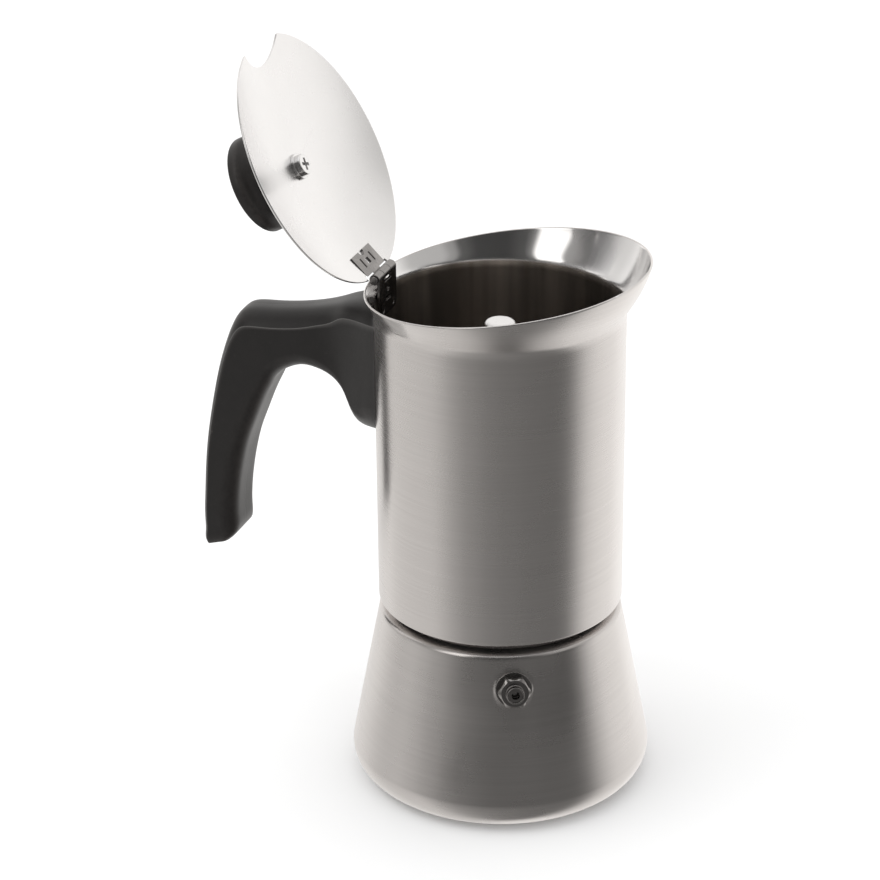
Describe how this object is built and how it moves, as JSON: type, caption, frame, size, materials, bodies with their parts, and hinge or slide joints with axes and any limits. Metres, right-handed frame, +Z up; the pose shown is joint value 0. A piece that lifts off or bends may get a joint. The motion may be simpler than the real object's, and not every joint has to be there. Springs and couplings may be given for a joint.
{
  "type": "stove-top coffee maker",
  "caption": "Stove-top moka coffee pot: steel boiler with safety valve, funnel and filter, threaded collector with flared spout, hinged domed lid, black grip and knob.",
  "frame": {"origin": "centre of the flat bottom of the boiler, on the pot's axis", "axes": "+Z up along the pot's axis, +X towards the spout, -X towards the handle and lid hinge"},
  "size_m": [0.161, 0.104, 0.2541],
  "materials": {
    "brushed_boiler": "brushed",
    "brushed_collector": "brushed",
    "polished_lid": "polished",
    "inner_steel": "satin",
    "hinge_steel": "satin",
    "valve_steel": "satin",
    "screw_steel": "polished",
    "spring_steel": "satin",
    "insert_brass": "satin",
    "seal_silicone": "matt",
    "black_plastic": "satin"
  },
  "bodies": {
    "boiler": {"boiler_shell": "brushed_boiler", "valve_washer": "valve_steel", "valve_body": "valve_steel", "valve_nut": "valve_steel", "valve_retainer": "valve_steel", "funnel_basket": "inner_steel", "funnel_stem": "inner_steel", "funnel_screen": "inner_steel"},
    "plunger": {"valve_plunger": "valve_steel", "valve_spring": "spring_steel"},
    "seal": {"gasket": "seal_silicone", "filter_plate": "inner_steel"},
    "collector": {"collector_body": "brushed_collector", "collector_floor": "inner_steel", "collector_collar": "inner_steel", "column": "inner_steel", "column_cap": "screw_steel", "handle_grip": "black_plastic", "handle_bracket": "hinge_steel", "handle_screw": "screw_steel", "vessel_leaf": "hinge_steel", "hinge_pin": "hinge_steel"},
    "lid": {"lid_plate": "polished_lid", "lid_leaf": "hinge_steel", "knob": "black_plastic", "knob_insert": "insert_brass", "knob_washer": "screw_steel", "knob_screw": "screw_steel"}
  },
  "joints": [
    {"name": "thread_lift", "type": "slide", "parent": "boiler", "child": "seal", "axis": [0, 0, 1], "range_m": [0, 0.0048]},
    {"name": "upper_unscrew", "type": "hinge", "parent": "seal", "child": "collector", "pos_m": [0, 0, 0.0778], "axis": [0, 0, 1], "range_deg": [0, 576]},
    {"name": "lid_hinge", "type": "hinge", "parent": "collector", "child": "lid", "pos_m": [-0.0414, 0, 0.179], "axis": [0, 1, 0], "range_deg": [0, 116.9]},
    {"name": "valve_lift", "type": "slide", "parent": "boiler", "child": "plunger", "axis": [0.4055, -0.8939, 0.1911], "range_m": [0, 0.0015], "stiffness_N_per_m": 800, "springref_m": -0.0025, "deforming": ["valve_spring"]}
  ],
  "couplings": [
    {"joint": "thread_lift", "follows": "upper_unscrew", "m_per_rad": 0.00047746}
  ]
}
